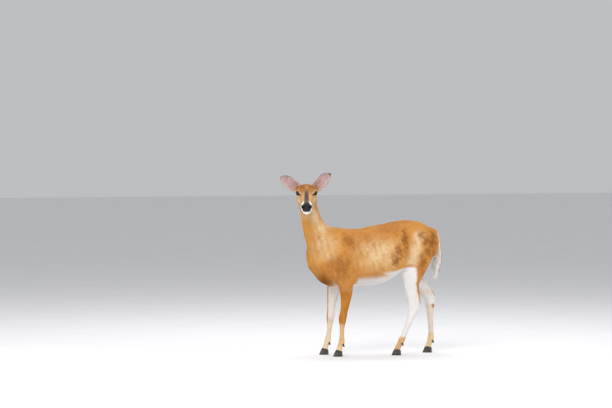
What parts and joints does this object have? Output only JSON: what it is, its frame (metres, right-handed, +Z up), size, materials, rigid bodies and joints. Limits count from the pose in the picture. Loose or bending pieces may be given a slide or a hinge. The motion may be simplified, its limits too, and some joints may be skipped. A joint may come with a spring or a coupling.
{
  "type": "white-tailed deer",
  "caption": "Life-size white-tailed doe standing on four hooves, body in profile, long neck upright, head turned to its left to face the viewer, ears spread, tail hanging.",
  "frame": {"origin": "on the floor, under the middle of the doe's bounding box", "axes": "+Z up, the doe's body faces -X, its left side faces -Y, and its head is turned towards -Y"},
  "size_m": [1.0474, 0.3754, 1.1435],
  "materials": {
    "coat_brown": "short red-brown summer hair",
    "coat_face": "very short brown and grey hair, white round the muzzle and eyes",
    "coat_white": "white hair of the belly, the insides of the legs, the chin and the tail",
    "nose": "bare wet black skin",
    "eye": "wet dark brown eyeball",
    "ear": "pink-grey skin with pale hair inside, brown hair outside",
    "hoof": "dull black horn"
  },
  "bodies": {
    "root": {"trunk_forequarters": "coat_brown", "trunk_barrel": "coat_brown", "trunk_hindquarters": "coat_brown", "neck": "coat_brown", "head": "coat_face", "muzzle": "coat_face", "jaw": "coat_white", "nose": "nose", "tail": "coat_white", "ear_left": "ear", "ear_right": "ear", "eye_left": "eye", "eye_right": "eye", "fore_left_forearm": "coat_brown", "fore_left_cannon": "coat_brown", "fore_left_pastern": "coat_brown", "fore_left_claw_outer": "hoof", "fore_left_claw_inner": "hoof", "fore_left_dewclaw_outer": "hoof", "fore_left_dewclaw_inner": "hoof", "fore_right_forearm": "coat_brown", "fore_right_cannon": "coat_brown", "fore_right_pastern": "coat_brown", "fore_right_claw_outer": "hoof", "fore_right_claw_inner": "hoof", "fore_right_dewclaw_outer": "hoof", "fore_right_dewclaw_inner": "hoof", "hind_left_gaskin": "coat_white", "hind_left_cannon": "coat_white", "hind_left_pastern": "coat_white", "hind_left_claw_outer": "hoof", "hind_left_claw_inner": "hoof", "hind_left_dewclaw_outer": "hoof", "hind_left_dewclaw_inner": "hoof", "hind_right_gaskin": "coat_white", "hind_right_cannon": "coat_white", "hind_right_pastern": "coat_white", "hind_right_claw_outer": "hoof", "hind_right_claw_inner": "hoof", "hind_right_dewclaw_outer": "hoof", "hind_right_dewclaw_inner": "hoof"}
  },
  "joints": []
}
